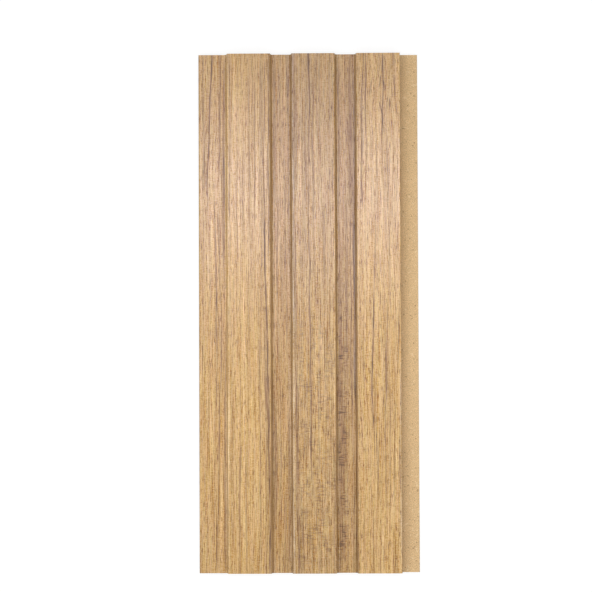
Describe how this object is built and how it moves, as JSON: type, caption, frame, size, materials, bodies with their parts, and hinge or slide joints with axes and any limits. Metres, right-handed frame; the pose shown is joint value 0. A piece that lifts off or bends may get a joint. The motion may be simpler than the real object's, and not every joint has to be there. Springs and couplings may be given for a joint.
{
  "type": "fluted mdf wall panel",
  "caption": "Short length of foil-wrapped MDF wall cladding with flat raised slats, a tongue on one edge and a groove with a bare clip lip on the other.",
  "frame": {"origin": "middle of the overall footprint, on the back face that lies against the wall", "axes": "+X runs across the slats from the tongue to the bare lip, +Y along the slats, +Z out of the wall"},
  "size_m": [0.136, 0.321, 0.016],
  "materials": {
    "raw_mdf": "matte",
    "wood_print_foil": "satin"
  },
  "bodies": {
    "root": {"mdf_board": "raw_mdf", "decor_foil": "wood_print_foil"}
  },
  "joints": []
}
